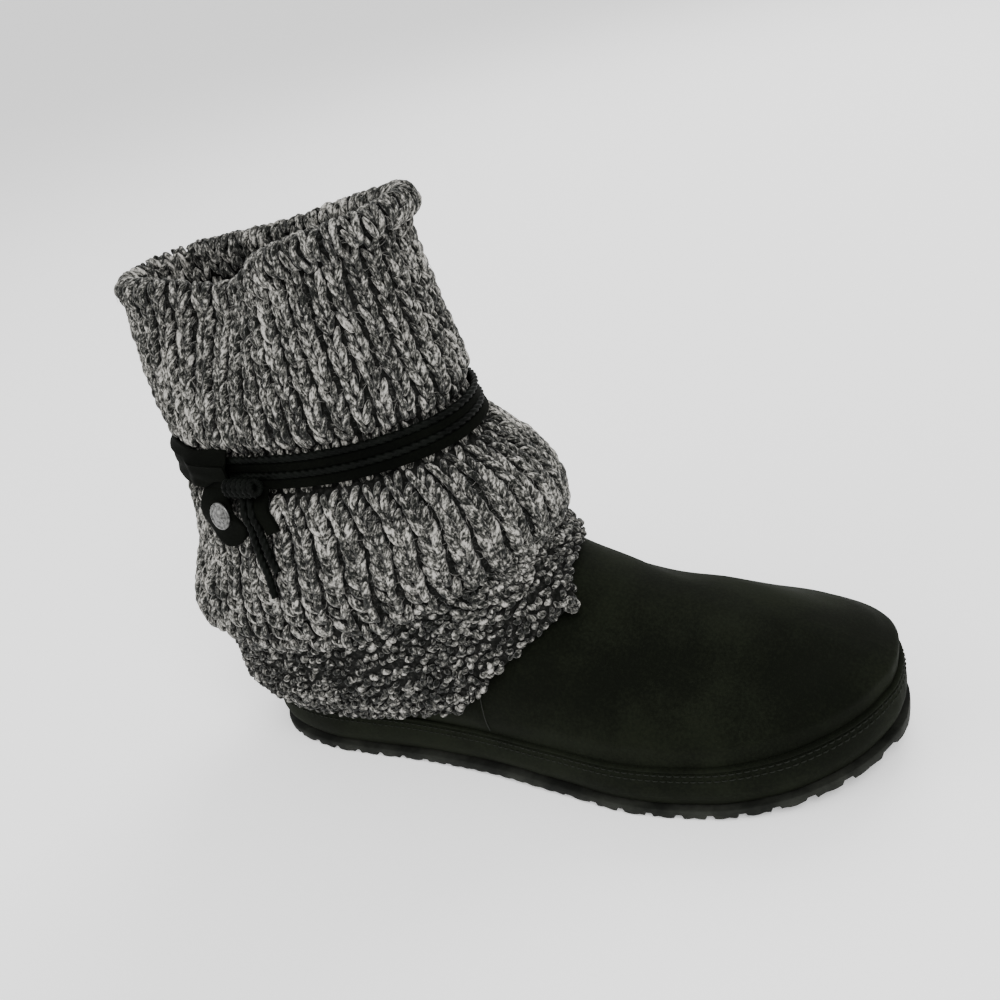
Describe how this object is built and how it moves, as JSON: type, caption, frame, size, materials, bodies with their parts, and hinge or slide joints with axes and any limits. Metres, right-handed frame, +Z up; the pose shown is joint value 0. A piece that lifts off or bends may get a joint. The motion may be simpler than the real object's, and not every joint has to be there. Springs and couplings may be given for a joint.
{
  "type": "mukluk boot",
  "caption": "Right mukluk boot: suede foot on a wrapped platform sole, with a slouched rib-knit shaft tied round the ankle by a cord and a lace.",
  "frame": {"origin": "on the ground under the middle of the heel, at the heel's resting lug", "axes": "+X from the heel to the toe, +Y to the wearer's left (the inner side of this right foot), +Z up"},
  "size_m": [0.2837, 0.1087, 0.217],
  "materials": {
    "suede": "matt nubuck or suede, near black with a faint green cast",
    "rubber": "matt dark grey rubber",
    "lining": "matt felt",
    "knit": "chunky marled wool, black, grey and off-white",
    "cord": "twisted cord with a slight satin sheen",
    "metal": "silvery hammered stud"
  },
  "bodies": {
    "root": {"outsole": "rubber", "midsole": "suede", "insole": "lining", "upper": "suede", "knit_shaft": "knit", "tie_cord_upper": "cord", "tie_lace_upper": "suede", "tie_cord_lower": "cord", "tie_lace_lower": "suede", "keeper_tab": "suede", "stud": "metal", "tie_knot": "cord", "tail_cord_long": "cord", "tail_cord_short": "cord", "tail_lace": "suede"}
  },
  "joints": []
}
